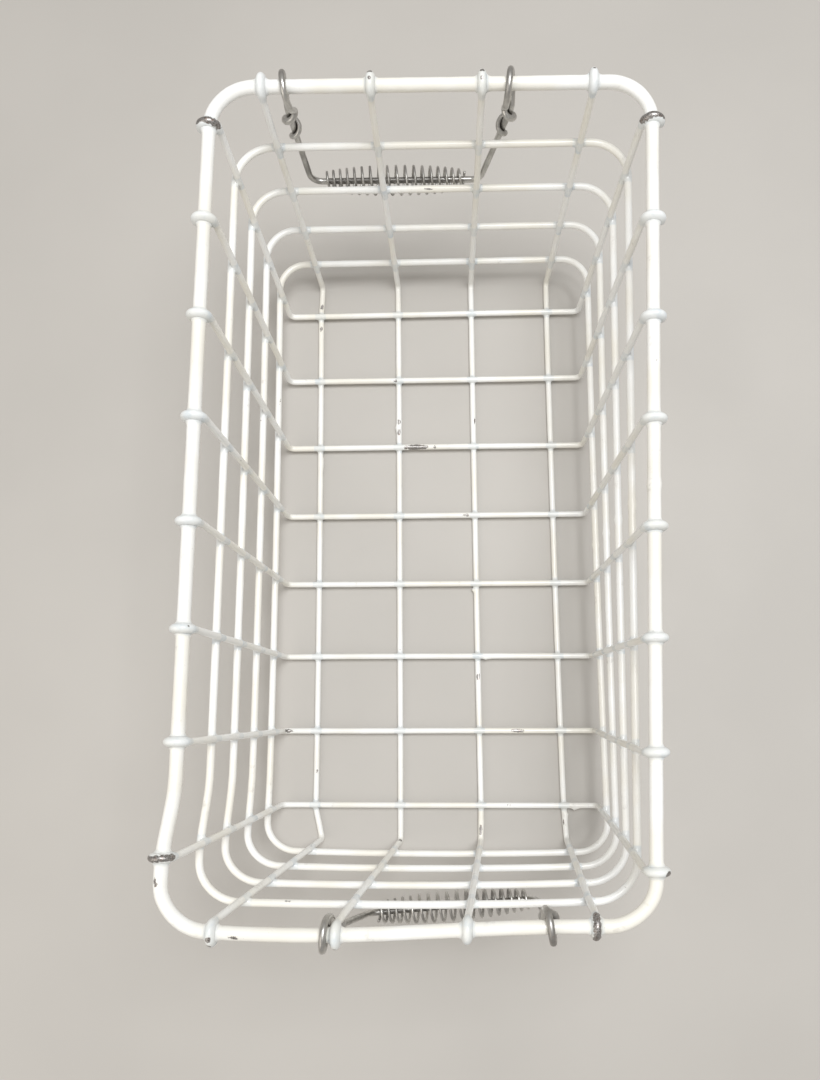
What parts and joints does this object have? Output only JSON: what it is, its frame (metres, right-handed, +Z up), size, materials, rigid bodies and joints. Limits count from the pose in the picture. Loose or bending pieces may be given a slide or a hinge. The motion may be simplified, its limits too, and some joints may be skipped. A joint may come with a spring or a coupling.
{
  "type": "wire basket",
  "caption": "Open rectangular wire basket with a thick rod rim, welded rings and hooked upright wires, and a drop handle with a coiled wire grip at each end.",
  "frame": {"origin": "under the middle of the whole basket, at the level it rests on", "axes": "+X across the basket, +Y along it towards the far handle, +Z up"},
  "size_m": [0.2518, 0.4392, 0.1655],
  "materials": {
    "white_coating": "thick glossy white dip coating on steel wire, creamy with age, chipped to grey steel at hooks and crossings",
    "handle_steel": "bare drawn steel wire, dulled and darkened, bright where it rubs",
    "grip_steel": "bare spring wire, dulled"
  },
  "bodies": {
    "basket_frame": {"rim_rod": "white_coating", "side_ring_1": "white_coating", "side_ring_2": "white_coating", "side_ring_3": "white_coating", "side_ring_4": "white_coating", "cross_wire_1": "white_coating", "cross_wire_2": "white_coating", "cross_wire_3": "white_coating", "cross_wire_4": "white_coating", "cross_wire_5": "white_coating", "cross_wire_6": "white_coating", "cross_wire_7": "white_coating", "cross_wire_8": "white_coating", "long_wire_1": "white_coating", "long_wire_2": "white_coating", "long_wire_3": "white_coating", "long_wire_4": "white_coating"},
    "far_handle": {"far_handle": "handle_steel"},
    "near_handle": {"near_handle": "handle_steel"},
    "far_grip": {"far_grip_coil": "grip_steel"},
    "near_grip": {"near_grip_coil": "grip_steel"}
  },
  "joints": [
    {"name": "far_handle_swing", "type": "hinge", "parent": "basket_frame", "child": "far_handle", "pos_m": [-0.01044, 0.21056, 0.15801], "axis": [1, 0, 0], "range_deg": [0, 330]},
    {"name": "near_handle_swing", "type": "hinge", "parent": "basket_frame", "child": "near_handle", "pos_m": [0.00896, -0.20694, 0.15801], "axis": [-0.9995, -0.03, 0], "range_deg": [0, 330]},
    {"name": "far_grip_turn", "type": "hinge", "parent": "far_handle", "child": "far_grip", "pos_m": [-0.01814, 0.21056, 0.08201], "axis": [1, 0, 0], "continuous": true},
    {"name": "near_grip_turn", "type": "hinge", "parent": "near_handle", "child": "near_grip", "pos_m": [0.01386, -0.21019, 0.08201], "axis": [-0.9968, -0.0799, 0], "continuous": true}
  ]
}
